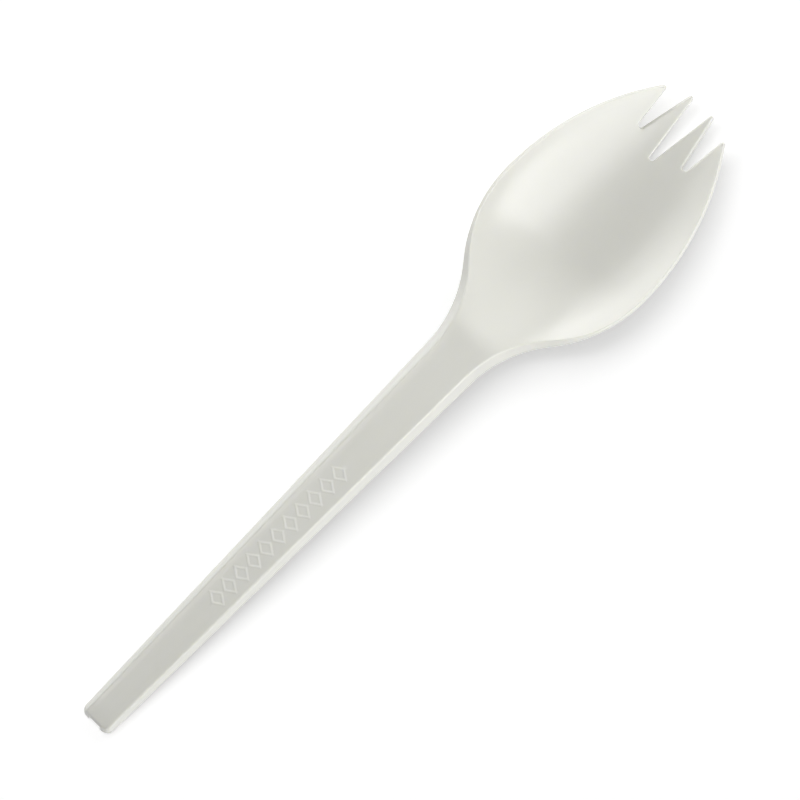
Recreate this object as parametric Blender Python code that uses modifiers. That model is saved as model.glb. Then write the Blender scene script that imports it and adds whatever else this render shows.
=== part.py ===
"""A disposable spork, moulded in one piece, lying on its back on a table.

Lengths are in metres. +X runs from the handle's end to the tips of the tines, +Y across and +Z up.
The origin is on the table, under the middle of the spork's length and width.

The body is a thin wall between two height fields that share one outline seen from above: the top face
and the underside. Around the handle the edge of the wall turns down into a drafted flange, so that the
handle is a channel open below. Half of the spork is modelled, and a Mirror makes the other half.
"""

import math
from typing import NamedTuple

import bmesh
import bpy
from mathutils import Vector

MM = 0.001

# Outline seen from above
OVERALL_LENGTH = 155.0 * MM
HANDLE_END_WIDTH = 6.75 * MM
HANDLE_TAPER = math.radians(1.3)
END_CORNER_RADIUS = 1.6 * MM
NECK_RADIUS = 24.0 * MM
SHOULDER_RADIUS = 27.5 * MM
BOWL_WIDTH = 34.4 * MM
BOWL_SIDE_RADIUS = 53.0 * MM
WIDEST_TO_TIPS = 32.5 * MM

# Tines and the gaps between them
TINE_TIP_RADIUS = 0.5 * MM
OUTER_TIP_SETBACK = 2.1 * MM
INNER_TIP_SPACING = 5.2 * MM
GAP_ROOT_RADIUS = 0.45 * MM
MIDDLE_GAP_DEPTH = 13.3 * MM
SIDE_GAP_DEPTH = 10.5 * MM
SIDE_GAP_SPACING = 11.2 * MM

# Heights above the table, along the rim and along the middle of the bowl
HANDLE_END_HEIGHT = 2.35 * MM
HANDLE_END_SLOPE = 0.08
NECK_HEIGHT = 8.4 * MM
RIM_HEIGHT = 8.1 * MM
RIM_SLOPE = -0.03
RIM_TIP_HEIGHT = 4.9 * MM
RIM_TIP_SLOPE = -0.25
FLOOR_TIP_HEIGHT = 3.3 * MM
FLOOR_TIP_SLOPE = 0.1

# The neck's crease and the bowl's section
NECK_TO_WIDEST = 25.5 * MM
NECK_CREASE_REACH = 1.6 * MM
NECK_DROP_SLOPE = -0.4
DEEPEST_TO_WIDEST = 2.0 * MM
PANEL_DISH = 0.12 * MM
NECK_SECTION_POWER = 2.4
BOWL_SECTION_POWER = 2.1

# Wall, flange and edges
WALL = 1.1 * MM
END_FLANGE_DEPTH = 2.5 * MM
NECK_FLANGE_DEPTH = 4.2 * MM
FLANGE_FOOT_WIDTH = 1.0 * MM
FLANGE_DRAFT = math.radians(16.0)
FLANGE_FADE = 17.0 * MM
TINE_DRAFT = math.radians(7.0)
HANDLE_RIDGE_RADIUS = 0.6 * MM
RIM_EDGE_RADIUS = 0.35 * MM
TINE_EDGE_RADIUS = 0.25 * MM
FOOT_CHAMFER = 0.15 * MM
INSIDE_CORNER_RADIUS = 0.5 * MM
END_ROLL_DROP = 0.35 * MM
END_ROLL_REACH = 4.0 * MM
REST_TRIM = 0.08 * MM

# Gate notch in the foot of the handle's end wall
NOTCH_WIDTH = 2.7 * MM
NOTCH_DEPTH = 0.36 * MM

# Fineness of the faceted surfaces
ARC_STEP = math.radians(24.0)
LONGEST_SPAN = 2.2 * MM
NECK_SPAN = 1.2 * MM
CELL = 2.0 * MM
CREASE_CELL = 0.8 * MM
SNAP = 0.12 * MM
EDGE_STEPS = 2
SLOPE_PROBE = 0.01 * MM
CUTTER_DEPTH = 5.0 * MM

PLASTIC_COLOUR = (0.74, 0.74, 0.685, 1.0)
PLASTIC_ROUGHNESS = 0.26

WIDEST_X = OVERALL_LENGTH - WIDEST_TO_TIPS
NECK_X = WIDEST_X - NECK_TO_WIDEST
DEEPEST_X = WIDEST_X - DEEPEST_TO_WIDEST


class Bend(NamedTuple):
    """A round stretch of the outline. The radius is positive where the spork's side is convex."""

    centre: Vector
    radius: float


class OutlinePoint(NamedTuple):
    """A point of the outline, with what is needed to move it inwards."""

    place: Vector
    outward: Vector
    bend: Bend | None
    mitre: Vector | None
    draft: float
    edge_radius: float


def smooth_step(value, start, end):
    """0 before start, 1 after end, and an even S between them."""
    share = min(1.0, max(0.0, (value - start) / (end - start)))
    return share * share * (3.0 - 2.0 * share)


def mix(first, second, share):
    return first + (second - first) * share


def hermite(x, start, end):
    """Height at x of the cubic between two stations, each given as (x, height, slope)."""
    x0, z0, slope0 = start
    x1, z1, slope1 = end
    length = x1 - x0
    u = (x - x0) / length
    return (
        z0 * (1.0 + 2.0 * u) * (1.0 - u) ** 2
        + slope0 * length * u * (1.0 - u) ** 2
        + z1 * u * u * (3.0 - 2.0 * u)
        + slope1 * length * u * u * (u - 1.0)
    )


def outline_bends():
    """The round stretches of one half of the outline, from the handle's end to the middle gap."""
    half_end = HANDLE_END_WIDTH / 2.0
    taper = math.tan(HANDLE_TAPER)
    corner = Bend(
        Vector((
            END_CORNER_RADIUS,
            half_end + END_CORNER_RADIUS * (taper - 1.0 / math.cos(HANDLE_TAPER)),
        )),
        END_CORNER_RADIUS,
    )
    shoulder = Bend(Vector((WIDEST_X, BOWL_WIDTH / 2.0 - SHOULDER_RADIUS)), SHOULDER_RADIUS)
    side = Bend(Vector((WIDEST_X, BOWL_WIDTH / 2.0 - BOWL_SIDE_RADIUS)), BOWL_SIDE_RADIUS)

    # The neck's centre is one radius outside the handle's side, and touches the shoulder's circle.
    rise = half_end + NECK_RADIUS / math.cos(HANDLE_TAPER) - shoulder.centre.y
    reach = NECK_RADIUS + SHOULDER_RADIUS
    a = 1.0 + taper * taper
    b = rise * taper - shoulder.centre.x
    c = shoulder.centre.x ** 2 + rise * rise - reach * reach
    neck_x = (-b - math.sqrt(b * b - a * c)) / a
    neck = Bend(
        Vector((neck_x, half_end + neck_x * taper + NECK_RADIUS / math.cos(HANDLE_TAPER))),
        -NECK_RADIUS,
    )

    tip_x = OVERALL_LENGTH - OUTER_TIP_SETBACK - TINE_TIP_RADIUS
    tip_reach = BOWL_SIDE_RADIUS - TINE_TIP_RADIUS
    outer_tip = Bend(
        Vector((tip_x, side.centre.y + math.sqrt(tip_reach ** 2 - (tip_x - WIDEST_X) ** 2))),
        TINE_TIP_RADIUS,
    )
    side_root = Bend(
        Vector((OVERALL_LENGTH - SIDE_GAP_DEPTH + GAP_ROOT_RADIUS, SIDE_GAP_SPACING / 2.0)),
        -GAP_ROOT_RADIUS,
    )
    inner_tip = Bend(
        Vector((OVERALL_LENGTH - TINE_TIP_RADIUS, INNER_TIP_SPACING / 2.0)), TINE_TIP_RADIUS
    )
    middle_root = Bend(
        Vector((OVERALL_LENGTH - MIDDLE_GAP_DEPTH + GAP_ROOT_RADIUS, 0.0)), -GAP_ROOT_RADIUS
    )
    return corner, neck, shoulder, side, outer_tip, side_root, inner_tip, middle_root


BENDS = outline_bends()
_, NECK, SHOULDER, SIDE, OUTER_TIP, *_ = BENDS
NECK_START_X = NECK.centre.x + NECK_RADIUS * math.sin(HANDLE_TAPER)
NECK_END_X = mix(NECK.centre.x, SHOULDER.centre.x, NECK_RADIUS / (NECK_RADIUS + SHOULDER_RADIUS))
SIDE_OUTWARD_Y = (OUTER_TIP.centre.y - SIDE.centre.y) / (BOWL_SIDE_RADIUS - TINE_TIP_RADIUS)


def half_width(x):
    """Half of the spork's width at x, as if the handle's end were square and the bowl had no gaps."""
    if x < NECK_START_X:
        return HANDLE_END_WIDTH / 2.0 + x * math.tan(HANDLE_TAPER)
    if x < NECK_END_X:
        return NECK.centre.y - math.sqrt(NECK_RADIUS ** 2 - (x - NECK.centre.x) ** 2)
    bend = SHOULDER if x < WIDEST_X else SIDE
    return bend.centre.y + math.sqrt(bend.radius ** 2 - (x - bend.centre.x) ** 2)


def rim_height(x):
    """Height of the top face along its outer edge."""
    neck = (NECK_X, NECK_HEIGHT, 0.0)
    widest = (WIDEST_X, RIM_HEIGHT, RIM_SLOPE)
    if x < NECK_X:
        roll = max(0.0, 1.0 - x / END_ROLL_REACH) ** 2 * END_ROLL_DROP
        return hermite(x, (0.0, HANDLE_END_HEIGHT, HANDLE_END_SLOPE), neck) - roll
    if x < WIDEST_X:
        return hermite(x, neck, widest)
    return hermite(x, widest, (OVERALL_LENGTH, RIM_TIP_HEIGHT, RIM_TIP_SLOPE))


def bowl_floor(x):
    """Height of the middle of the bowl's top face, from the neck's crease to the tips.

    The bowl is modelled a hair low, and the table trims its underside to the flat that it rests on.
    """
    deepest = (DEEPEST_X, WALL - REST_TRIM, 0.0)
    if x < DEEPEST_X:
        return hermite(x, (NECK_X, NECK_HEIGHT - PANEL_DISH, NECK_DROP_SLOPE), deepest)
    return hermite(x, deepest, (OVERALL_LENGTH, FLOOR_TIP_HEIGHT, FLOOR_TIP_SLOPE))


def middle_height(x):
    """Height of the top face along the middle, with the neck's crease rounded."""
    start = NECK_X - NECK_CREASE_REACH
    end = NECK_X + NECK_CREASE_REACH
    if x <= start:
        return rim_height(x) - PANEL_DISH
    if x >= end:
        return bowl_floor(x)
    rise = (rim_height(start) - rim_height(start - SLOPE_PROBE)) / SLOPE_PROBE
    fall = (bowl_floor(end + SLOPE_PROBE) - bowl_floor(end)) / SLOPE_PROBE
    return hermite(
        x, (start, rim_height(start) - PANEL_DISH, rise), (end, bowl_floor(end), fall)
    )


def top_height(x, y):
    """Height of the top face."""
    power = mix(NECK_SECTION_POWER, BOWL_SECTION_POWER, smooth_step(x, NECK_X, DEEPEST_X))
    share = min(1.0, abs(y) / half_width(x))
    return mix(middle_height(x), rim_height(x), share ** power)


def under_height(x, y):
    """Height of the underside, one wall below the top face, measured square to it."""
    here = top_height(x, y)
    along = (top_height(x + SLOPE_PROBE, y) - here) / SLOPE_PROBE
    across = (here - top_height(x, abs(y) - SLOPE_PROBE)) / SLOPE_PROBE
    return here - WALL * math.sqrt(1.0 + along * along + across * across)


def foot_height(x, y):
    """Height of the edge's lower side: the flange's foot on the handle, the underside on the bowl.

    Where the bowl's underside comes down below the foot, the flange is lost in it.
    """
    depth = mix(END_FLANGE_DEPTH, NECK_FLANGE_DEPTH, x / NECK_X)
    flange_foot = max(-REST_TRIM, rim_height(x) - depth)
    under = under_height(x, y)
    return min(under, mix(flange_foot, under, smooth_step(x, NECK_X, NECK_X + FLANGE_FADE)))


def tangent_heading(first, second):
    """Heading of the straight line that leaves one bend and enters the next."""
    step = second.centre - first.centre
    turn = (first.radius - second.radius) / step.length
    return math.atan2(step.y, step.x) - math.asin(max(-1.0, min(1.0, turn)))


def left_of(heading):
    """Unit vector square to a heading, which points out of the spork."""
    return Vector((-math.sin(heading), math.cos(heading)))


def outline_point(place, heading, bend=None, mitre=None):
    """A point of the outline. Its edge is the side's, or the tines' where it faces the middle."""
    outward = left_of(heading)
    side_radius = mix(
        HANDLE_RIDGE_RADIUS, RIM_EDGE_RADIUS, smooth_step(place.x, NECK_X, NECK_X + FLANGE_FADE)
    )
    tine_share = 0.0
    if place.x > WIDEST_X:
        tine_share = 1.0 - smooth_step(outward.y, 0.0, SIDE_OUTWARD_Y)
    return OutlinePoint(
        place,
        outward,
        bend,
        mitre,
        mix(FLANGE_DRAFT, TINE_DRAFT, tine_share),
        mix(side_radius, TINE_EDGE_RADIUS, tine_share),
    )


def half_outline():
    """Points of one half of the outline, from the middle of the handle's end to the middle gap."""
    headings = [math.pi / 2.0]
    for index, bend in enumerate(BENDS):
        if index + 1 < len(BENDS):
            heading = tangent_heading(bend, BENDS[index + 1])
        else:
            heading = -math.pi / 2.0
        # A convex bend turns to the right, and a hollow one to the left.
        turn = math.copysign(1.0, bend.radius)
        while (headings[-1] - heading) * turn < -1e-9:
            heading -= turn * 2.0 * math.pi
        while (headings[-1] - heading) * turn > 2.0 * math.pi:
            heading += turn * 2.0 * math.pi
        headings.append(heading)

    points = [outline_point(Vector((0.0, 0.0)), headings[0])]
    for index, bend in enumerate(BENDS):
        start, end = headings[index], headings[index + 1]
        mitre = left_of((start + end) / 2.0) / math.cos((start - end) / 2.0)
        length = abs(start - end) * abs(bend.radius)
        span = NECK_SPAN if bend == NECK else LONGEST_SPAN
        steps = max(2, math.ceil(abs(start - end) / ARC_STEP), math.ceil(length / span))
        first = bend.centre + left_of(start) * bend.radius
        add_straight(points, first, start)
        # A bend that starts where the last one ended shares its first point.
        repeats = (points[-1].place - first).length < SNAP * 0.1
        for step in range(1 if repeats else 0, steps + 1):
            share = step / steps
            heading = mix(start, end, share)
            place = bend.centre + left_of(heading) * bend.radius
            points.append(outline_point(place, heading, bend, mitre))
    last = points[-1]
    points[-1] = last._replace(place=Vector((last.place.x, 0.0)))
    return points


def add_straight(points, end, heading):
    """Adds the points between the last one and a bend's start, neither of them included."""
    start = points[-1].place
    spans = math.ceil((end - start).length / LONGEST_SPAN)
    for step in range(1, spans):
        points.append(outline_point(start.lerp(end, step / spans), heading))


def inset(point, distance):
    """An outline point moved inwards. Past a convex bend's centre it follows the corner's mitre."""
    bend = point.bend
    if bend and 0.0 < bend.radius < distance:
        return bend.centre - point.mitre * (distance - bend.radius)
    return point.place - point.outward * distance


def edge_rings(point):
    """The wall's edge at an outline point, as (inset, height from place) pairs on both faces.

    The first list climbs from the outline to the top face. The second goes from the outline, under
    the flange and up its inner side, to the underside.
    """
    x, y = point.place
    foot = foot_height(x, y)
    drop = top_height(x, y) - foot
    flare = drop * math.tan(point.draft)
    turn = math.pi / 2.0 - point.draft
    radius = point.edge_radius
    flat_from = flare + radius * math.tan(turn / 2.0)

    def on_ridge(angle):
        return (
            flat_from - radius * math.sin(angle),
            lambda px, py: top_height(px, py) - radius * (1.0 - math.cos(angle)),
        )

    upper = [on_ridge(turn * (1.0 - step / EDGE_STEPS)) for step in range(EDGE_STEPS + 1)]

    hollow = under_height(x, y) - foot
    flange_share = min(1.0, max(0.0, hollow / WALL))
    foot_width = mix(FOOT_CHAMFER, FLANGE_FOOT_WIDTH, flange_share)
    corner = foot_width + hollow * math.tan(point.draft)
    reach = INSIDE_CORNER_RADIUS * math.tan(turn / 2.0) * flange_share
    lower = [
        (FOOT_CHAMFER, foot_height),
        (foot_width, foot_height),
        (
            corner - reach * math.sin(point.draft),
            lambda px, py: under_height(px, py) - reach * math.cos(point.draft),
        ),
        (corner + reach, under_height),
    ]
    return upper, lower


def add_ring(bm, old, rings, points):
    """Extrudes a chain of vertices inwards by one ring, and returns the new chain."""
    made = []
    for point, (distance, height) in zip(points, rings):
        x, y = inset(point, distance)
        if point is points[0] or point is points[-1]:
            y = 0.0
        made.append(bm.verts.new((x, y, height(x, y))))
    inner = [bm.edges.new(pair) for pair in zip(made, made[1:])]
    outer = [bm.edges.get(pair) for pair in zip(old, old[1:])]
    bmesh.ops.bridge_loops(bm, edges=inner + outer)
    return made


def fill_face(bm, chain, height):
    """Closes a chain along the middle plane, cuts the face into cells and lifts them to a height."""
    face = bm.faces.new(chain)
    geometry = [face, *face.edges, *face.verts]
    across = [(x, 0.0) for x in stations()]
    along = [(0.0, CELL * row) for row in range(1, math.ceil(BOWL_WIDTH / 2.0 / CELL))]
    for x, y in across + along:
        normal = (1.0, 0.0, 0.0) if y == 0.0 else (0.0, 1.0, 0.0)
        cut = bmesh.ops.bisect_plane(
            bm, geom=geometry, dist=SNAP, plane_co=(x, y, 0.0), plane_no=normal
        )
        geometry = cut["geom"]
    known = set(chain)
    for vertex in {v for v in geometry if isinstance(v, bmesh.types.BMVert)} - known:
        vertex.co.z = height(vertex.co.x, vertex.co.y)


def stations():
    """Where the top and the underside are cut across, closer together at the neck's crease."""
    cuts = [CELL * step for step in range(1, math.ceil(OVERALL_LENGTH / CELL))]
    crease = (NECK_X - NECK_CREASE_REACH * 1.3, NECK_X + NECK_CREASE_REACH * 1.3)
    cuts = [x for x in cuts if not crease[0] - SNAP < x < crease[1] + SNAP]
    steps = math.ceil((crease[1] - crease[0]) / CREASE_CELL)
    return cuts + [mix(*crease, step / steps) for step in range(steps + 1)]


def build_half(bm):
    """One half of the spork, open along the middle plane."""
    points = half_outline()
    edges = [edge_rings(point) for point in points]
    outline = []
    for point in points:
        x, y = point.place
        outline.append(bm.verts.new((x, y, foot_height(x, y) + FOOT_CHAMFER)))
    for pair in zip(outline, outline[1:]):
        bm.edges.new(pair)
    for side, height in ((0, top_height), (1, under_height)):
        chain = outline
        for ring in range(len(edges[0][side])):
            chain = add_ring(bm, chain, [edge[side][ring] for edge in edges], points)
        fill_face(bm, chain, height)
    wide = [face for face in bm.faces if len(face.verts) > 4]
    bmesh.ops.triangulate(bm, faces=wide, ngon_method="BEAUTY")
    bmesh.ops.remove_doubles(bm, verts=bm.verts, dist=0.02 * MM)
    bmesh.ops.dissolve_degenerate(bm, edges=bm.edges, dist=0.01 * MM)
    bmesh.ops.recalc_face_normals(bm, faces=bm.faces)


def moulded_plastic():
    material = bpy.data.materials.new("moulded_plastic")
    material.use_nodes = True
    shader = material.node_tree.nodes["Principled BSDF"]
    shader.inputs["Base Color"].default_value = PLASTIC_COLOUR
    shader.inputs["Roughness"].default_value = PLASTIC_ROUGHNESS
    shader.inputs["Metallic"].default_value = 0.0
    return material


def cut_block(spork, collection, name, size, place):
    """Cuts a block of a size, centred on a place, out of the spork."""
    bm = bmesh.new()
    bmesh.ops.create_cube(bm, size=1.0)
    bmesh.ops.scale(bm, vec=size, verts=bm.verts)
    mesh = bpy.data.meshes.new(name + "_cutter")
    bm.to_mesh(mesh)
    bm.free()
    cutter = bpy.data.objects.new(name + "_cutter", mesh)
    cutter.location = place
    cutter.hide_render = True
    cutter.display_type = "WIRE"
    collection.objects.link(cutter)
    cut = spork.modifiers.new(name, "BOOLEAN")
    cut.operation = "DIFFERENCE"
    cut.solver = "EXACT"
    cut.object = cutter


def new_collection(name):
    collection = bpy.data.collections.new(name)
    bpy.context.scene.collection.children.link(collection)
    return collection


def build_spork():
    for leftover in list(bpy.data.objects):
        bpy.data.objects.remove(leftover)
    parts = new_collection("spork")
    cutters = new_collection("cutters")

    bm = bmesh.new()
    build_half(bm)
    mesh = bpy.data.meshes.new("spork")
    bm.to_mesh(mesh)
    bm.free()
    spork = bpy.data.objects.new("spork", mesh)
    spork.location = (-OVERALL_LENGTH / 2.0, 0.0, 0.0)
    spork.data.materials.append(moulded_plastic())
    parts.objects.link(spork)

    mirror = spork.modifiers.new("other_half", "MIRROR")
    mirror.use_axis = (False, True, False)
    mirror.merge_threshold = 0.001 * MM
    notch_size = (2.0 * NOTCH_DEPTH, NOTCH_WIDTH, 2.0 * CUTTER_DEPTH)
    cut_block(spork, cutters, "gate_notch", notch_size, (-OVERALL_LENGTH / 2.0, 0.0, 0.0))
    table_size = (1.2 * OVERALL_LENGTH, 1.2 * BOWL_WIDTH, CUTTER_DEPTH)
    cut_block(spork, cutters, "table_flat", table_size, (0.0, 0.0, -CUTTER_DEPTH / 2.0))
    spork.data.shade_smooth()
    spork.data.set_sharp_from_angle(angle=math.radians(40.0))


build_spork()
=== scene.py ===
"""A disposable spork, moulded in one piece from off-white bioplastic, lying in a plain studio.

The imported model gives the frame: +X runs from the handle's end to the tips of the tines, +Y across and
+Z up, in metres, with the origin on the table under the spork's middle. This script stands a finely
modelled spork in the place of the CAD solid, gives it the satin finish of filled, crystallised plastic,
and adds the floor, the lamps and the camera.
"""

import logging
import math
from collections.abc import Callable
from dataclasses import dataclass, field
from enum import Enum

import bmesh
import bpy
from mathutils import Matrix, Vector


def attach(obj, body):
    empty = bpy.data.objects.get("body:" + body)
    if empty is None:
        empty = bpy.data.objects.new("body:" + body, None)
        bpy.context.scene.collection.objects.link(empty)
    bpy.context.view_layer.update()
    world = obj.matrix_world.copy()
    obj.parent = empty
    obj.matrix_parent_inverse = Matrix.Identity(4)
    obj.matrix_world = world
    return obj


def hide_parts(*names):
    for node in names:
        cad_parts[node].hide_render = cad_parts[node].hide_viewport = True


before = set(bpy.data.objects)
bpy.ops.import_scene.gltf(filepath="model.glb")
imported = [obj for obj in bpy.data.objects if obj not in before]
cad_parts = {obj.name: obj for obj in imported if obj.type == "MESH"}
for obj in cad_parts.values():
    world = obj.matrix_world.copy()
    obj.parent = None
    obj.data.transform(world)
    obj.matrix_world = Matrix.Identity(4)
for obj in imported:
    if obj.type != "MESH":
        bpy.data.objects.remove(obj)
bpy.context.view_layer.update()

MM = 0.001
# Name of the point attribute that masks the painted highlight on the relief's strokes.
STROKE_HIGHLIGHT_ATTRIBUTE = "stroke"
QUAD_CORNERS = 4

log = logging.getLogger("spork")

Height = Callable[[float, float], float]
Station = tuple[float, float, float]
Colour = tuple[float, float, float]
Item = bmesh.types.BMVert | bmesh.types.BMEdge | bmesh.types.BMFace


def mix(first: float, second: float, share: float) -> float:
    """The value that lies a share of the way from first to second."""
    return first + (second - first) * share


def smooth_step(value: float, start: float, end: float) -> float:
    """0 before start, 1 after end, and an even S between them."""
    share = min(1.0, max(0.0, (value - start) / (end - start)))
    return share * share * (3.0 - 2.0 * share)


def hermite(x: float, start: Station, end: Station) -> float:
    """Height on the cubic between two stations.

    Args:
        x: Where the height is wanted, between the stations.
        start: The first station's x, height and slope.
        end: The second station's x, height and slope.

    Returns:
        The height at x.
    """
    x0, z0, slope0 = start
    x1, z1, slope1 = end
    length = x1 - x0
    u = (x - x0) / length
    return (
        z0 * (1.0 + 2.0 * u) * (1.0 - u) ** 2
        + slope0 * length * u * (1.0 - u) ** 2
        + z1 * u * u * (3.0 - 2.0 * u)
        + slope1 * length * u * u * (u - 1.0)
    )


def left_of(heading: float) -> Vector:
    """Unit vector square to a heading, which points out of the spork."""
    return Vector((-math.sin(heading), math.cos(heading)))


def direction(azimuth: float, elevation: float) -> Vector:
    """Unit vector towards a place in the sky.

    Args:
        azimuth: In degrees from +X towards +Y.
        elevation: In degrees above the table.

    Returns:
        The vector from the spork towards the place.
    """
    turn, rise = math.radians(azimuth), math.radians(elevation)
    flat = math.cos(rise)
    return Vector((math.cos(turn) * flat, math.sin(turn) * flat, math.sin(rise)))


@dataclass(frozen=True)
class Bend:
    """A round stretch of the outline. The radius is positive where the spork's side is convex."""

    centre: Vector
    radius: float


@dataclass(frozen=True)
class OutlinePoint:
    """A point of the outline, with what is needed to move it inwards."""

    place: Vector
    outward: Vector
    bend: Bend | None
    mitre: Vector | None

    def inset(self, distance: float) -> Vector:
        """The point moved inwards by a distance.

        Args:
            distance: How far to move it, in metres.

        Returns:
            The new place. Past a convex bend's centre it follows the corner's mitre.
        """
        if self.bend and 0.0 < self.bend.radius < distance:
            return self.bend.centre - self.mitre * (distance - self.bend.radius)
        return self.place - self.outward * distance


@dataclass(frozen=True)
class Outline:
    """The spork's outline seen from above, as a chain of tangent arcs and straight lines."""

    length: float = 155.0 * MM
    handle_end_width: float = 6.75 * MM
    handle_taper: float = math.radians(1.3)
    end_corner_radius: float = 1.6 * MM
    neck_radius: float = 24.0 * MM
    shoulder_radius: float = 27.5 * MM
    bowl_width: float = 34.4 * MM
    side_radius: float = 53.0 * MM
    widest_to_tips: float = 32.5 * MM
    tine_tip_radius: float = 0.5 * MM
    outer_tip_setback: float = 2.1 * MM
    inner_tip_spacing: float = 5.2 * MM
    gap_root_radius: float = 0.45 * MM
    middle_gap_depth: float = 13.3 * MM
    side_gap_depth: float = 10.5 * MM
    side_gap_spacing: float = 11.2 * MM
    arc_step: float = math.radians(9.0)
    longest_span: float = 0.7 * MM
    shortest_span: float = 0.01 * MM
    fewest_arc_steps: int = 3
    turn_tolerance: float = 1e-9
    bends: tuple[Bend, ...] = field(init=False)

    def __post_init__(self) -> None:
        """Works out the arcs once."""
        object.__setattr__(self, "bends", self.find_bends())

    @property
    def widest_x(self) -> float:
        """Where the bowl is widest."""
        return self.length - self.widest_to_tips

    def find_bends(self) -> tuple[Bend, ...]:
        """The arcs of one half, from the handle's end to the middle gap between the tines.

        Returns:
            The handle's corner, the neck, the shoulder, the bowl's side, the outer tine's tip, the
            side gap's root, the inner tine's tip and the middle gap's root.
        """
        half_end = self.handle_end_width / 2.0
        taper = math.tan(self.handle_taper)
        along_side = half_end - self.end_corner_radius / math.cos(self.handle_taper)
        corner_y = along_side + self.end_corner_radius * taper
        corner = Bend(Vector((self.end_corner_radius, corner_y)), self.end_corner_radius)
        half_bowl = self.bowl_width / 2.0
        shoulder = Bend(
            Vector((self.widest_x, half_bowl - self.shoulder_radius)), self.shoulder_radius
        )
        side = Bend(Vector((self.widest_x, half_bowl - self.side_radius)), self.side_radius)
        neck = self.neck_bend(shoulder)
        tip_x = self.length - self.outer_tip_setback - self.tine_tip_radius
        tip_reach = self.side_radius - self.tine_tip_radius
        tip_y = side.centre.y + math.sqrt(tip_reach**2 - (tip_x - self.widest_x) ** 2)
        outer_tip = Bend(Vector((tip_x, tip_y)), self.tine_tip_radius)
        inner_x = self.length - self.tine_tip_radius
        inner_tip = Bend(Vector((inner_x, self.inner_tip_spacing / 2.0)), self.tine_tip_radius)
        side_x = self.length - self.side_gap_depth + self.gap_root_radius
        side_root = Bend(Vector((side_x, self.side_gap_spacing / 2.0)), -self.gap_root_radius)
        middle_x = self.length - self.middle_gap_depth + self.gap_root_radius
        middle_root = Bend(Vector((middle_x, 0.0)), -self.gap_root_radius)
        return corner, neck, shoulder, side, outer_tip, side_root, inner_tip, middle_root

    def neck_bend(self, shoulder: Bend) -> Bend:
        """The hollow arc that is tangent to the handle's side and to the shoulder.

        Args:
            shoulder: The shoulder's arc.

        Returns:
            The neck's arc.
        """
        taper = math.tan(self.handle_taper)
        level = self.handle_end_width / 2.0 + self.neck_radius / math.cos(self.handle_taper)
        rise = level - shoulder.centre.y
        reach = self.neck_radius + shoulder.radius
        a = 1.0 + taper * taper
        b = rise * taper - shoulder.centre.x
        c = shoulder.centre.x**2 + rise * rise - reach * reach
        x = (-b - math.sqrt(b * b - a * c)) / a
        return Bend(Vector((x, level + x * taper)), -self.neck_radius)

    def half_width(self, x: float) -> float:
        """Half the width, as if the handle's end were square and the bowl had no gaps.

        Args:
            x: Along the spork, from the handle's end.

        Returns:
            The distance from the middle to the outline.
        """
        _, neck, shoulder, side, *_ = self.bends
        if x < neck.centre.x + self.neck_radius * math.sin(self.handle_taper):
            return self.handle_end_width / 2.0 + x * math.tan(self.handle_taper)
        share = self.neck_radius / (self.neck_radius + self.shoulder_radius)
        if x < mix(neck.centre.x, shoulder.centre.x, share):
            return neck.centre.y - math.sqrt(self.neck_radius**2 - (x - neck.centre.x) ** 2)
        bend = shoulder if x < self.widest_x else side
        return bend.centre.y + math.sqrt(bend.radius**2 - (x - bend.centre.x) ** 2)

    def headings(self) -> list[float]:
        """The outline's headings, in the order of its arcs.

        Returns:
            The heading where each arc starts, and last the heading at the end, by the middle gap.
        """
        found = [math.pi / 2.0]
        for index, bend in enumerate(self.bends):
            heading = -math.pi / 2.0
            if index + 1 < len(self.bends):
                after = self.bends[index + 1]
                step = after.centre - bend.centre
                turn = max(-1.0, min(1.0, (bend.radius - after.radius) / step.length))
                heading = math.atan2(step.y, step.x) - math.asin(turn)
            way = math.copysign(1.0, bend.radius)
            while (found[-1] - heading) * way < -self.turn_tolerance:
                heading -= way * 2.0 * math.pi
            while (found[-1] - heading) * way > 2.0 * math.pi:
                heading += way * 2.0 * math.pi
            found.append(heading)
        return found

    def half(self) -> list[OutlinePoint]:
        """The outline's points, half of it.

        Returns:
            The points in order, from the middle of the handle's end to the middle gap.
        """
        headings = self.headings()
        points = [OutlinePoint(Vector((0.0, 0.0)), left_of(headings[0]), None, None)]
        for bend, start, end in zip(self.bends, headings, headings[1:]):
            first = bend.centre + left_of(start) * bend.radius
            points += self.straight(points[-1].place, first, start)
            points += self.arc(bend, start, end, points[-1].place)
        last = points[-1]
        ending = Vector((last.place.x, 0.0))
        points[-1] = OutlinePoint(ending, last.outward, last.bend, last.mitre)
        return points

    def straight(self, start: Vector, end: Vector, heading: float) -> list[OutlinePoint]:
        """The points along a straight line.

        Args:
            start: The line's first place.
            end: Its last place.
            heading: Its heading.

        Returns:
            The points between the two places, neither of them included.
        """
        spans = math.ceil((end - start).length / self.longest_span)
        return [
            OutlinePoint(start.lerp(end, step / spans), left_of(heading), None, None)
            for step in range(1, spans)
        ]

    def arc(self, bend: Bend, start: float, end: float, last: Vector) -> list[OutlinePoint]:
        """The points round one arc.

        Args:
            bend: The arc.
            start: Its heading where it starts.
            end: Its heading where it ends.
            last: The outline's last point, left out where the arc starts there.

        Returns:
            The arc's points, in order.
        """
        turn = abs(start - end)
        steps = max(
            self.fewest_arc_steps,
            math.ceil(turn / self.arc_step),
            math.ceil(turn * abs(bend.radius) / self.longest_span),
        )
        mitre = left_of((start + end) / 2.0) / math.cos((start - end) / 2.0)
        points = []
        for step in range(steps + 1):
            outward = left_of(mix(start, end, step / steps))
            place = bend.centre + outward * bend.radius
            if step or (place - last).length > self.shortest_span:
                points.append(OutlinePoint(place, outward, bend, mitre))
        return points


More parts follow.
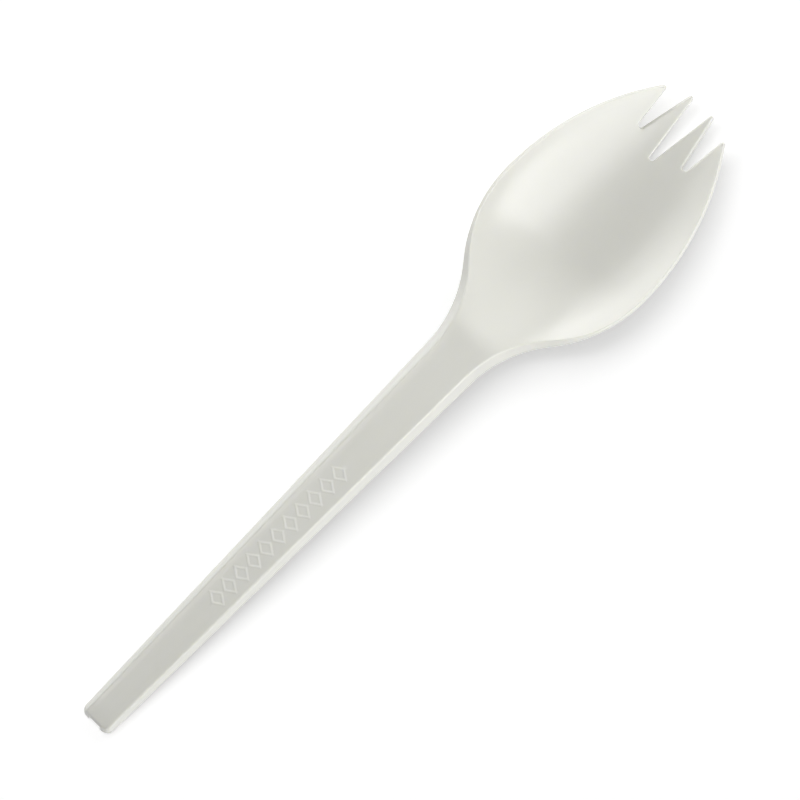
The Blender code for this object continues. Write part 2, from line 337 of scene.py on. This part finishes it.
@dataclass(frozen=True)
class LozengeRow:
    """A row of raised lozenge outlines along the middle of the handle."""

    first_x: float = 31.5 * MM
    pitch: float = 3.1 * MM
    count: int = 11
    length: float = 2.3 * MM
    height: float = 3.3 * MM
    stroke: float = 0.42 * MM
    rise: float = 0.05 * MM
    margin: float = 0.4 * MM

    @property
    def last_x(self) -> float:
        """The middle of the last lozenge."""
        return self.first_x + self.pitch * (self.count - 1)

    def covers(self, x: float, y: float) -> bool:
        """Whether a place is in the row, or within its margin.

        Args:
            x: Along the spork.
            y: Across it.

        Returns:
            True in the row or close to it.
        """
        before = self.first_x - self.length / 2.0 - self.margin
        after = self.last_x + self.length / 2.0 + self.margin
        return before < x < after and abs(y) < self.height / 2.0 + self.margin

    def rise_at(self, x: float, y: float) -> float:
        """How far the row stands up at a place.

        Args:
            x: Along the spork.
            y: Across it.

        Returns:
            The height of the stroke above the panel, in metres, and 0 off the strokes.
        """
        if not self.covers(x, y):
            return 0.0
        step = min(self.count - 1, max(0, round((x - self.first_x) / self.pitch)))
        across = abs(x - self.first_x - step * self.pitch) / (self.length / 2.0)
        up = abs(y) / (self.height / 2.0)
        steepness = math.hypot(2.0 / self.length, 2.0 / self.height)
        off = abs(across + up - 1.0) / steepness
        share = max(0.0, 1.0 - (off / (self.stroke / 2.0)) ** 2)
        return self.rise * share * (2.0 - share)


@dataclass(frozen=True)
class Form:
    """The heights of the spork's top face and underside above the table."""

    outline: Outline
    relief: LozengeRow
    end_height: float = 2.35 * MM
    end_slope: float = 0.08
    neck_height: float = 8.4 * MM
    rim_height: float = 8.1 * MM
    rim_slope: float = -0.03
    rim_tip_height: float = 4.9 * MM
    rim_tip_slope: float = -0.25
    floor_tip_height: float = 3.3 * MM
    floor_tip_slope: float = 0.1
    neck_to_widest: float = 25.5 * MM
    crease_reach: float = 1.6 * MM
    drop_slope: float = -0.4
    deepest_to_widest: float = 2.0 * MM
    panel_dish: float = 0.12 * MM
    lip_rise: float = 0.14 * MM
    lip_power: float = 5.0
    lip_fade: float = 6.0 * MM
    end_lip_inset: float = 1.1 * MM
    neck_lip_inset: float = 1.65 * MM
    neck_power: float = 2.4
    bowl_power: float = 2.1
    wall: float = 1.1 * MM
    end_flange_depth: float = 2.5 * MM
    neck_flange_depth: float = 4.2 * MM
    flange_fade: float = 17.0 * MM
    end_roll_drop: float = 0.35 * MM
    end_roll_reach: float = 4.0 * MM
    rest_trim: float = 0.08 * MM
    probe: float = 0.01 * MM

    @property
    def neck_x(self) -> float:
        """Where the crease between the handle and the bowl lies."""
        return self.outline.widest_x - self.neck_to_widest

    @property
    def deepest_x(self) -> float:
        """Where the bowl is deepest."""
        return self.outline.widest_x - self.deepest_to_widest

    def rim(self, x: float) -> float:
        """Height of the top face along its outer edge.

        Args:
            x: Along the spork.

        Returns:
            The height above the table.
        """
        neck = (self.neck_x, self.neck_height, 0.0)
        widest = (self.outline.widest_x, self.rim_height, self.rim_slope)
        if x < self.neck_x:
            roll = max(0.0, 1.0 - x / self.end_roll_reach) ** 2 * self.end_roll_drop
            return hermite(x, (0.0, self.end_height, self.end_slope), neck) - roll
        if x < self.outline.widest_x:
            return hermite(x, neck, widest)
        tips = (self.outline.length, self.rim_tip_height, self.rim_tip_slope)
        return hermite(x, widest, tips)

    def bowl_floor(self, x: float) -> float:
        """Height of the middle of the bowl.

        Args:
            x: Along the spork, from the crease to the tips.

        Returns:
            The height above the table.
        """
        deepest = (self.deepest_x, self.wall - self.rest_trim, 0.0)
        if x < self.deepest_x:
            start = (self.neck_x, self.neck_height - self.panel_dish, self.drop_slope)
            return hermite(x, start, deepest)
        tips = (self.outline.length, self.floor_tip_height, self.floor_tip_slope)
        return hermite(x, deepest, tips)

    def middle(self, x: float) -> float:
        """Height of the top face along the middle, with the crease rounded.

        Args:
            x: Along the spork.

        Returns:
            The height above the table.
        """
        start = self.neck_x - self.crease_reach
        end = self.neck_x + self.crease_reach
        if x <= start:
            return self.rim(x) - self.panel_dish
        if x >= end:
            return self.bowl_floor(x)
        rise = (self.rim(start) - self.rim(start - self.probe)) / self.probe
        fall = (self.bowl_floor(end + self.probe) - self.bowl_floor(end)) / self.probe
        before = (start, self.rim(start) - self.panel_dish, rise)
        return hermite(x, before, (end, self.bowl_floor(end), fall))

    def smooth_top(self, x: float, y: float) -> float:
        """Height of the top face without its relief. The handle's panel rises towards its ridges.

        Args:
            x: Along the spork.
            y: Across it.

        Returns:
            The height above the table.
        """
        fade = smooth_step(x, self.neck_x, self.deepest_x)
        power = mix(self.neck_power, self.bowl_power, fade)
        half_width = self.outline.half_width(x)
        share = min(1.0, abs(y) / half_width)
        height = mix(self.middle(x), self.rim(x), share**power)
        if x > self.neck_x:
            return height
        inset = mix(self.end_lip_inset, self.neck_lip_inset, x / self.neck_x)
        lip = min(1.0, abs(y) / (half_width - inset)) ** self.lip_power
        panel = 1.0 - smooth_step(x, self.neck_x - self.lip_fade, self.neck_x)
        return height - self.lip_rise * panel * (1.0 - lip)

    def top(self, x: float, y: float) -> float:
        """Height of the top face."""
        return self.smooth_top(x, y) + self.relief.rise_at(x, y)

    def under(self, x: float, y: float) -> float:
        """Height of the underside, one wall below the top face, measured square to it.

        Args:
            x: Along the spork.
            y: Across it.

        Returns:
            The height above the table.
        """
        here = self.smooth_top(x, y)
        along = (self.smooth_top(x + self.probe, y) - here) / self.probe
        across = (here - self.smooth_top(x, abs(y) - self.probe)) / self.probe
        return max(0.0, here - self.wall * math.sqrt(1.0 + along * along + across * across))

    def foot(self, x: float, y: float) -> float:
        """Height of the edge's lower side: the flange's foot, or the underside beyond it.

        Args:
            x: Along the spork.
            y: Across it.

        Returns:
            The height above the table.
        """
        depth = mix(self.end_flange_depth, self.neck_flange_depth, x / self.neck_x)
        flange = max(0.0, self.rim(x) - depth)
        under = self.under(x, y)
        fade = smooth_step(x, self.neck_x, self.neck_x + self.flange_fade)
        return min(under, mix(flange, under, fade))


Ring = tuple[float, Height]


@dataclass(frozen=True)
class Edge:
    """The drafted, rounded edge that joins the top face to the underside."""

    outline: Outline
    form: Form
    flange_draft: float = math.radians(18.0)
    tine_draft: float = math.radians(4.0)
    foot_width: float = 1.0 * MM
    ridge_radius: float = 0.5 * MM
    rim_radius: float = 0.30 * MM
    tine_radius: float = 0.20 * MM
    foot_radius: float = 0.15 * MM
    inside_radius: float = 0.5 * MM
    steps: int = 5
    foot_steps: int = 2

    def tine_share(self, point: OutlinePoint) -> float:
        """How far the edge is a tine's edge.

        Args:
            point: The point of the outline.

        Returns:
            0 on the handle and the bowl's side, and 1 on the edges between the tines.
        """
        if point.place.x < self.outline.widest_x:
            return 0.0
        _, _, _, side, tip, *_ = self.outline.bends
        side_outward = (tip.centre.y - side.centre.y) / (side.radius - tip.radius)
        return 1.0 - smooth_step(point.outward.y, 0.0, side_outward)

    def draft(self, point: OutlinePoint) -> float:
        """The wall's lean at a point of the outline, from the vertical."""
        return mix(self.flange_draft, self.tine_draft, self.tine_share(point))

    def upper(self, point: OutlinePoint) -> list[Ring]:
        """The rings from the outline up the wall and over the rounded ridge to the top face.

        Args:
            point: The point of the outline.

        Returns:
            How far in each ring lies there, and its height from a place.
        """
        x, y = point.place
        form = self.form
        draft = self.draft(point)
        fade = smooth_step(x, form.neck_x, form.neck_x + form.flange_fade)
        side_radius = mix(self.ridge_radius, self.rim_radius, fade)
        radius = mix(side_radius, self.tine_radius, self.tine_share(point))
        turn = math.pi / 2.0 - draft
        flare = (form.top(x, y) - form.foot(x, y)) * math.tan(draft)
        flat_from = flare + radius * math.tan(turn / 2.0)

        def on_ridge(angle: float) -> Ring:
            """The ring at an angle round the ridge, from the top face's edge."""
            drop = radius * (1.0 - math.cos(angle))
            return flat_from - radius * math.sin(angle), lambda px, py: form.top(px, py) - drop

        return [on_ridge(turn * (1.0 - step / self.steps)) for step in range(self.steps + 1)]

    def lower(self, point: OutlinePoint) -> list[Ring]:
        """The rings from the outline under the flange and up its inner side to the underside.

        Args:
            point: The point of the outline.

        Returns:
            How far in each ring lies there, and its height from a place.
        """
        x, y = point.place
        form = self.form
        draft = self.draft(point)
        turn = math.pi / 2.0 - draft
        hollow = form.under(x, y) - form.foot(x, y)
        flange_share = min(1.0, max(0.0, hollow / form.wall))
        width = mix(self.foot_radius, self.foot_width, flange_share)
        inner = width + hollow * math.tan(draft)
        radius = self.inside_radius * flange_share
        flat_from = inner + radius * math.tan(turn / 2.0)
        rings: list[Ring] = []
        for step in range(1, self.foot_steps + 1):
            angle = math.pi / 2.0 * step / self.foot_steps
            lift = self.foot_radius * (1.0 - math.sin(angle))
            distance = self.foot_radius * (1.0 - math.cos(angle))
            rings.append((distance, self.raised(form.foot, lift)))
        rings.append((width, form.foot))
        for step in range(self.steps + 1):
            angle = turn * (1.0 - step / self.steps)
            drop = radius * (1.0 - math.cos(angle))
            rings.append((flat_from - radius * math.sin(angle), self.raised(form.under, -drop)))
        return rings

    @staticmethod
    def raised(height: Height, lift: float) -> Height:
        """A height function lifted by a constant."""
        return lambda x, y: height(x, y) + lift


@dataclass
class Spork:
    """The moulded spork: its mesh, with the relief, the flange and the notch at the handle's end."""

    outline: Outline = field(default_factory=Outline)
    relief: LozengeRow = field(default_factory=LozengeRow)
    cell: float = 0.7 * MM
    crease_cell: float = 0.35 * MM
    crease_span: float = 1.3
    handle_rows: int = 8
    relief_cell: float = 0.14 * MM
    snap: float = 0.04 * MM
    weld: float = 0.004 * MM
    notch_width: float = 2.7 * MM
    notch_depth: float = 0.36 * MM
    cutter_depth: float = 5.0 * MM
    sharp_angle: float = math.radians(38.0)

    def __post_init__(self) -> None:
        """Derives the heights and the edge from the outline."""
        self.form = Form(self.outline, self.relief)
        self.edge = Edge(self.outline, self.form)

    def build(self, name: str) -> bpy.types.Object:
        """Models the spork in the frame's place.

        Args:
            name: The finished object's name.

        Returns:
            The object, at the origin, with its place in its mesh.
        """
        bm = bmesh.new()
        self.model_half(bm)
        everything = [*bm.verts, *bm.edges, *bm.faces]
        bmesh.ops.mirror(bm, geom=everything, matrix=Matrix(), merge_dist=self.weld, axis="Y")
        bmesh.ops.remove_doubles(bm, verts=bm.verts, dist=self.weld)
        bmesh.ops.recalc_face_normals(bm, faces=bm.faces)
        bmesh.ops.translate(bm, vec=(-self.outline.length / 2.0, 0.0, 0.0), verts=bm.verts)
        mesh = bpy.data.meshes.new(name)
        bm.to_mesh(mesh)
        bm.free()
        piece = bpy.data.objects.new(name, mesh)
        bpy.context.scene.collection.objects.link(piece)
        self.cut_notch(piece)
        self.mark_stroke_highlight(piece.data)
        piece.data.shade_smooth()
        piece.data.set_sharp_from_angle(angle=self.sharp_angle)
        return piece

    def model_half(self, bm: bmesh.types.BMesh) -> None:
        """Models one half, open along the middle plane.

        Args:
            bm: The empty mesh that takes it.
        """
        points = self.outline.half()
        foot = self.form.foot
        rise = self.edge.foot_radius
        outline = [bm.verts.new((*point.place, foot(*point.place) + rise)) for point in points]
        for pair in zip(outline, outline[1:]):
            bm.edges.new(pair)
        sides = (
            ([self.edge.upper(point) for point in points], self.form.top),
            ([self.edge.lower(point) for point in points], self.form.under),
        )
        for edge_rings, height in sides:
            chain = outline
            for rings in zip(*edge_rings):
                chain = self.add_ring(bm, chain, points, rings)
            self.fill(bm, chain, height)
        wide = [face for face in bm.faces if len(face.verts) > QUAD_CORNERS]
        bmesh.ops.triangulate(bm, faces=wide, ngon_method="BEAUTY")
        bmesh.ops.remove_doubles(bm, verts=bm.verts, dist=self.weld)
        bmesh.ops.dissolve_degenerate(bm, edges=bm.edges, dist=self.weld / 2.0)

    def add_ring(
        self,
        bm: bmesh.types.BMesh,
        chain: list[bmesh.types.BMVert],
        points: list[OutlinePoint],
        rings: tuple[Ring, ...],
    ) -> list[bmesh.types.BMVert]:
        """Extrudes a chain of vertices inwards by one ring.

        Args:
            bm: The mesh.
            chain: The last ring's vertices, one for each point.
            points: The outline's points.
            rings: How far in the new ring lies at each point, and its height there.

        Returns:
            The new ring's vertices, in order.
        """
        made = []
        for point, (distance, height) in zip(points, rings):
            x, y = point.inset(distance)
            if point is points[0] or point is points[-1]:
                y = 0.0
            made.append(bm.verts.new((x, y, height(x, y))))
        inner = [bm.edges.new(pair) for pair in zip(made, made[1:])]
        outer = [bm.edges.get(pair) for pair in zip(chain, chain[1:])]
        bmesh.ops.bridge_loops(bm, edges=inner + outer)
        return made

    def fill(
        self, bm: bmesh.types.BMesh, chain: list[bmesh.types.BMVert], height: Height
    ) -> None:
        """Closes a chain along the middle plane, cuts the face into cells and lifts them.

        Args:
            bm: The mesh.
            chain: The last ring's vertices.
            height: The height of the surface at a place.
        """
        rings = set(bm.verts)
        face = bm.faces.new(chain)
        rows = math.ceil(self.outline.bowl_width / 2.0 / self.cell)
        across = [self.cell * row for row in range(1, rows)]
        across += [self.cell * (row + 0.5) for row in range(self.handle_rows)]
        self.cut_cells(bm, [face], self.stations(), across)
        if height == self.form.top:
            inside = self.relief.covers
            made = [
                face
                for face in set(bm.faces)
                if all(v not in rings and inside(v.co.x, v.co.y) for v in face.verts)
            ]
            self.cut_cells(bm, made, *self.relief_grid())
        for vertex in set(bm.verts) - rings:
            vertex.co.z = height(vertex.co.x, vertex.co.y)

    def cut_cells(
        self,
        bm: bmesh.types.BMesh,
        faces: list[bmesh.types.BMFace],
        along: list[float],
        across: list[float],
    ) -> None:
        """Cuts faces into cells with upright planes.

        Args:
            bm: The mesh.
            faces: The faces to cut.
            along: The x of each plane square to the spork's length.
            across: The y of each plane along it.
        """
        geometry: list[Item] = [*faces]
        geometry += {edge for face in faces for edge in face.edges}
        geometry += {vertex for face in faces for vertex in face.verts}
        cuts = [((x, 0.0, 0.0), (1.0, 0.0, 0.0)) for x in along]
        cuts += [((0.0, y, 0.0), (0.0, 1.0, 0.0)) for y in across]
        for place, normal in cuts:
            geometry = bmesh.ops.bisect_plane(
                bm, geom=geometry, dist=self.snap, plane_co=place, plane_no=normal
            )["geom"]

    def relief_grid(self) -> tuple[list[float], list[float]]:
        """Where the cells under the relief are cut finer.

        Returns:
            The x of the cuts across the spork, and the y of the cuts along it.
        """
        row = self.relief
        start = row.first_x - row.length / 2.0 - row.margin
        end = row.last_x + row.length / 2.0 + row.margin
        side = row.height / 2.0 + row.margin
        columns = int((end - start) / self.relief_cell)
        rows = int(side / self.relief_cell)
        along = [start + self.relief_cell * column for column in range(columns)]
        across = [self.relief_cell * line for line in range(1, rows)]
        return along, across

    def stations(self) -> list[float]:
        """Where the faces are cut across, closer together at the crease.

        Returns:
            The x of each cut.
        """
        neck_x = self.form.neck_x
        reach = self.form.crease_reach * self.crease_span
        crease = (neck_x - reach, neck_x + reach)
        count = math.ceil(self.outline.length / self.cell)
        cuts = [self.cell * step for step in range(1, count)]
        cuts = [x for x in cuts if not crease[0] - self.snap < x < crease[1] + self.snap]
        steps = math.ceil((crease[1] - crease[0]) / self.crease_cell)
        return cuts + [mix(*crease, step / steps) for step in range(steps + 1)]

    def cut_notch(self, piece: bpy.types.Object) -> None:
        """Cuts the gate notch out of the foot of the handle's end wall.

        Args:
            piece: The spork, whose mesh is replaced by the cut one.
        """
        bm = bmesh.new()
        bmesh.ops.create_cube(bm, size=1.0)
        size = (2.0 * self.notch_depth, self.notch_width, 2.0 * self.cutter_depth)
        bmesh.ops.scale(bm, vec=size, verts=bm.verts)
        bmesh.ops.translate(bm, vec=(-self.outline.length / 2.0, 0.0, 0.0), verts=bm.verts)
        block = bpy.data.meshes.new("notch_cutter")
        bm.to_mesh(block)
        bm.free()
        cutter = bpy.data.objects.new("notch_cutter", block)
        bpy.context.scene.collection.objects.link(cutter)
        cut = piece.modifiers.new("gate_notch", "BOOLEAN")
        cut.operation = "DIFFERENCE"
        cut.solver = "EXACT"
        cut.object = cutter
        graph = bpy.context.evaluated_depsgraph_get()
        notched = bpy.data.meshes.new_from_object(piece.evaluated_get(graph))
        piece.modifiers.remove(cut)
        piece.data = notched
        bpy.data.objects.remove(cutter)

    def mark_stroke_highlight(self, mesh: bpy.types.Mesh) -> None:
        """Writes how high each point stands on the relief's strokes, from 0 to 1, as an attribute, which
        masks the painted highlight on the strokes.

        Args:
            mesh: The spork's finished mesh.
        """
        marks = mesh.attributes.new(STROKE_HIGHLIGHT_ATTRIBUTE, "FLOAT", "POINT")
        for vertex, mark in zip(mesh.vertices, marks.data):
            x = vertex.co.x + self.outline.length / 2.0
            y = vertex.co.y
            on_top = vertex.co.z > self.form.smooth_top(x, y) - self.form.wall / 2.0
            mark.value = self.relief.rise_at(x, y) / self.relief.rise if on_top else 0.0


class Maths:
    """A shader value. Python's operators on it add Math nodes."""

    def __init__(self, tree: bpy.types.NodeTree, socket: bpy.types.NodeSocket) -> None:
        """Wraps a socket of a node tree."""
        self.tree = tree
        self.socket = socket

    def apply(self, operation: str, *values: "Maths | float") -> "Maths":
        """Adds a Math node.

        Args:
            operation: The node's operation.
            values: Its inputs after this one.

        Returns:
            The node's result.
        """
        node = self.tree.nodes.new("ShaderNodeMath")
        node.operation = operation
        for socket, value in zip(node.inputs, (self, *values)):
            if isinstance(value, Maths):
                self.tree.links.new(value.socket, socket)
            else:
                socket.default_value = value
        return Maths(self.tree, node.outputs[0])

    def __add__(self, other: "Maths | float") -> "Maths":
        """This value plus another."""
        return self.apply("ADD", other)

    def __mul__(self, other: "Maths | float") -> "Maths":
        """This value times another."""
        return self.apply("MULTIPLY", other)


class Shader:
    """The node tree of a material, with one method that adds any node."""

    def __init__(self, name: str) -> None:
        """Starts a material with an empty tree.

        Args:
            name: The material's name.
        """
        self.material = bpy.data.materials.new(name)
        self.material.use_nodes = True
        self.tree = self.material.node_tree
        self.tree.nodes.clear()

    def add(
        self, kind: str, settings: dict | None = None, inputs: dict | None = None
    ) -> bpy.types.Node:
        """Adds a node.

        Args:
            kind: The node's type.
            settings: Its properties, which are set first.
            inputs: Its sockets' values or links, by name.

        Returns:
            The node.
        """
        node = self.tree.nodes.new(kind)
        for name, value in (settings or {}).items():
            setattr(node, name, value)
        for name, value in (inputs or {}).items():
            socket = node.inputs[name]
            if isinstance(value, Maths):
                self.tree.links.new(value.socket, socket)
            elif isinstance(value, bpy.types.NodeSocket):
                self.tree.links.new(value, socket)
            else:
                socket.default_value = value
        return node

    def value(self, node: bpy.types.Node, output: str) -> Maths:
        """A node's output as a shader value."""
        return Maths(self.tree, node.outputs[output])

    def finish(self, surface: bpy.types.Node) -> bpy.types.Material:
        """Links a surface's first output to the material's output.

        Args:
            surface: The shader node that makes the surface.

        Returns:
            The material.
        """
        self.add("ShaderNodeOutputMaterial", inputs={"Surface": surface.outputs[0]})
        return self.material


@dataclass(frozen=True)
class SatinBioplastic:
    """Filled, crystallised plastic as it leaves the mould: off-white, satin and faintly mottled, with a
    painted highlight that colours the relief's strokes lighter.
    """

    colour: Colour = (0.748, 0.748, 0.701)
    cloudy_colour: Colour = (0.732, 0.731, 0.683)
    # Painted highlight: the relief's strokes are coloured lighter than the panel, standing in for the
    # light that their raised sides catch.
    stroke_highlight_colour: Colour = (0.806, 0.806, 0.760)
    cloud_scale: float = 90.0
    cloud_detail: float = 3.0
    cloud_harshness: float = 0.5
    grain_scale: float = 2600.0
    grain_detail: float = 2.0
    grain_harshness: float = 0.6
    roughness: float = 0.25
    roughness_swing: float = 0.04
    bump_height: float = 0.004 * MM
    bump_strength: float = 0.35
    refraction: float = 1.5
    glow_weight: float = 0.6
    glow_depth: float = 0.7 * MM
    glow_reach: Colour = (1.0, 1.0, 0.85)

    def material(self) -> bpy.types.Material:
        """Builds the material.

        Returns:
            A Principled material that reads Object coordinates and the strokes' attribute, which masks
            the strokes' painted highlight.
        """
        shader = Shader("satin_bioplastic")
        places = shader.add("ShaderNodeTexCoord").outputs["Object"]
        cloud = shader.add(
            "ShaderNodeTexNoise",
            inputs={
                "Vector": places,
                "Scale": self.cloud_scale,
                "Detail": self.cloud_detail,
                "Roughness": self.cloud_harshness,
            },
        )
        grain = shader.add(
            "ShaderNodeTexNoise",
            inputs={
                "Vector": places,
                "Scale": self.grain_scale,
                "Detail": self.grain_detail,
                "Roughness": self.grain_harshness,
            },
        )
        clouds = shader.value(cloud, "Fac")
        grains = shader.value(grain, "Fac")
        tint = shader.add(
            "ShaderNodeMix",
            {"data_type": "RGBA"},
            {
                "Factor": clouds,
                "A": (*self.cloudy_colour, 1.0),
                "B": (*self.colour, 1.0),
            },
        )
        # Painted highlight: mixes the lighter colour into the strokes, where their raised sides would
        # catch the light.
        stroke = shader.add("ShaderNodeAttribute", {"attribute_name": STROKE_HIGHLIGHT_ATTRIBUTE})
        tint_and_highlight = shader.add(
            "ShaderNodeMix",
            {"data_type": "RGBA"},
            {
                "Factor": shader.value(stroke, "Fac"),
                "A": tint.outputs["Result"],
                "B": (*self.stroke_highlight_colour, 1.0),
            },
        )
        rough = grains * self.roughness_swing + (self.roughness - self.roughness_swing / 2.0)
        bump = shader.add(
            "ShaderNodeBump",
            inputs={
                "Height": grains,
                "Distance": self.bump_height,
                "Strength": self.bump_strength,
            },
        )
        surface = shader.add(
            "ShaderNodeBsdfPrincipled",
            inputs={
                "Base Color": tint_and_highlight.outputs["Result"],
                "Roughness": rough,
                "Normal": bump.outputs["Normal"],
                "IOR": self.refraction,
                "Subsurface Weight": self.glow_weight,
                "Subsurface Scale": self.glow_depth,
                "Subsurface Radius": self.glow_reach,
            },
        )
        return shader.finish(surface)


@dataclass(frozen=True)
class PaleFloor:
    """The table: it keeps the spork's shadow, and is white elsewhere."""

    half_size: float = 1.5
    colour: Colour = (0.9, 0.9, 0.9)
    roughness: float = 0.9
    gloss: float = 0.0
    lift: float = 0.44

    def build(self) -> bpy.types.Object:
        """Makes the floor.

        Returns:
            The floor's object.
        """
        bm = bmesh.new()
        bmesh.ops.create_grid(bm, x_segments=1, y_segments=1, size=self.half_size)
        mesh = bpy.data.meshes.new("floor")
        bm.to_mesh(mesh)
        bm.free()
        floor = bpy.data.objects.new("floor", mesh)
        bpy.context.scene.collection.objects.link(floor)
        mesh.materials.append(self.material())
        return floor

    def material(self) -> bpy.types.Material:
        """Builds the floor's matt white, seen lifted to the backdrop's white, also in reflections.

        Returns:
            The material.
        """
        shader = Shader("floor_white")
        path = shader.add("ShaderNodeLightPath")
        seen = shader.value(path, "Is Camera Ray") + shader.value(path, "Is Glossy Ray")
        surface = shader.add(
            "ShaderNodeBsdfPrincipled",
            inputs={
                "Base Color": (*self.colour, 1.0),
                "Roughness": self.roughness,
                "Specular IOR Level": self.gloss,
                "Emission Color": seen.socket,
                "Emission Strength": self.lift,
            },
        )
        return shader.finish(surface)


class Lit(Enum):
    """What a lamp lights."""

    SPORK = "spork"
    FLOOR = "floor"


@dataclass(frozen=True)
class Softbox:
    """An even lamp that faces the spork's middle. Angles are in degrees, and its power in watts."""

    name: str
    azimuth: float
    elevation: float
    width: float
    height: float
    power: float
    lit: Lit = Lit.SPORK
    distance: float = 1.0

    def build(self, receivers: bpy.types.Collection) -> bpy.types.Object:
        """Hangs the lamp.

        Args:
            receivers: The objects that the lamp lights.

        Returns:
            The lamp's object.
        """
        lamp = bpy.data.lights.new(f"softbox_{self.name}", "AREA")
        lamp.shape = "RECTANGLE"
        lamp.size = self.width
        lamp.size_y = self.height
        lamp.energy = self.power
        holder = bpy.data.objects.new(lamp.name, lamp)
        back = direction(self.azimuth, self.elevation)
        holder.location = back * self.distance
        holder.rotation_euler = back.to_track_quat("Z", "Y").to_euler()
        holder.light_linking.receiver_collection = receivers
        bpy.context.scene.collection.objects.link(holder)
        return holder


@dataclass(frozen=True)
class Studio:
    """The lamps round the table, and the even light between them."""

    ambient: float = 0.05
    softboxes: tuple[Softbox, ...] = (
        Softbox("near_low", 278.0, 28.0, 0.35, 0.14, 0.98, distance=0.5),
        Softbox("near_middle", 278.0, 44.0, 0.32, 0.14, 0.69, distance=0.5),
        Softbox("near_high", 270.0, 58.0, 0.65, 0.25, 2.1),
        Softbox("near_top", 270.0, 72.0, 0.55, 0.25, 0.9),
        Softbox("far_low", 52.0, 8.0, 0.70, 0.09, 0.60, distance=0.45),
        Softbox("far_middle", 66.0, 19.0, 0.32, 0.10, 0.58, distance=0.4),
        Softbox("far_high", 70.0, 33.0, 0.26, 0.08, 0.18, distance=0.4),
        Softbox("far_side", 105.0, 8.0, 0.50, 0.22, 0.7),
        Softbox("neck_side", 140.0, 6.0, 0.50, 0.15, 1.0),
        Softbox("tips_low", 0.0, 12.0, 0.60, 0.30, 2.4),
        Softbox("tips_high", 30.0, 42.0, 0.70, 0.28, 0.3),
        Softbox("end_low", 190.0, 4.0, 0.40, 0.10, 0.6),
        Softbox("floor_top", 62.0, 80.0, 1.65, 1.65, 12.2, Lit.FLOOR, 3.0),
        Softbox("floor_high", 62.0, 58.0, 1.65, 1.65, 14.1, Lit.FLOOR, 3.0),
        Softbox("floor_side", 110.0, 50.0, 1.50, 1.50, 19.3, Lit.FLOOR, 3.0),
        Softbox("floor_low", 62.0, 36.0, 1.65, 1.35, 7.2, Lit.FLOOR, 3.0),
        Softbox("floor_tips", 15.0, 28.0, 1.50, 1.05, 13.5, Lit.FLOOR, 3.0),
        Softbox("floor_end", 180.0, 45.0, 1.80, 1.50, 4.6, Lit.FLOOR, 3.0),
        Softbox("floor_near", 270.0, 55.0, 1.80, 1.50, 6.7, Lit.FLOOR, 3.0),
    )

    def build(self, spork: bpy.types.Object, floor: bpy.types.Object) -> list[bpy.types.Object]:
        """Hangs the lamps and sets the world.

        Args:
            spork: The moulded spork.
            floor: The table.

        Returns:
            The lamps' objects.
        """
        receivers = {}
        for lit, thing in ((Lit.SPORK, spork), (Lit.FLOOR, floor)):
            receivers[lit] = bpy.data.collections.new(f"lit_{lit.value}")
            receivers[lit].objects.link(thing)
        world = bpy.data.worlds.new("studio")
        world.use_nodes = True
        background = world.node_tree.nodes["Background"]
        background.inputs["Color"].default_value = (1.0, 1.0, 1.0, 1.0)
        background.inputs["Strength"].default_value = self.ambient
        bpy.context.scene.world = world
        return [softbox.build(receivers[softbox.lit]) for softbox in self.softboxes]


@dataclass(frozen=True)
class OverheadCamera:
    """The camera above the table, turned so that the spork lies from corner to corner."""

    aim: tuple[float, float, float] = (2.0 * MM, 1.6 * MM, 4.0 * MM)
    distance: float = 0.9
    azimuth: float = -127.0
    elevation: float = 87.5
    roll: float = math.radians(45.37)
    frame_width: float = 142.67 * MM
    sensor: float = 36.0

    def build(self) -> bpy.types.Object:
        """Makes the camera and sets it as the scene's.

        Returns:
            The camera's object.
        """
        data = bpy.data.cameras.new("camera")
        data.sensor_width = self.sensor
        data.lens = self.sensor * self.distance / self.frame_width
        camera = bpy.data.objects.new("camera", data)
        back = direction(self.azimuth, self.elevation)
        right = Vector((math.cos(self.roll), -math.sin(self.roll), 0.0))
        right = (right - back * right.dot(back)).normalized()
        turn = Matrix((right, back.cross(right), back)).transposed().to_4x4()
        camera.matrix_world = Matrix.Translation(Vector(self.aim) + back * self.distance) @ turn
        bpy.context.scene.collection.objects.link(camera)
        bpy.context.scene.camera = camera
        return camera


def main() -> None:
    """Builds the spork, the floor, the lamps and the camera."""
    logging.basicConfig(level=logging.INFO, format="%(name)s: %(message)s")
    bpy.context.scene.view_settings.view_transform = "Standard"
    piece = Spork().build("spork_moulding")
    piece.data.materials.clear()
    piece.data.materials.append(SatinBioplastic().material())
    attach(piece, "root")
    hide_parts("spork")
    log.info("%s: %d faces", piece.name, len(piece.data.polygons))
    floor = PaleFloor().build()
    for lamp in Studio().build(piece, floor):
        log.info("%s: %.1f W", lamp.name, lamp.data.energy)
    camera = OverheadCamera().build()
    log.info("%s: lens %.1f mm", camera.name, camera.data.lens)


if __name__ == "__main__":
    main()
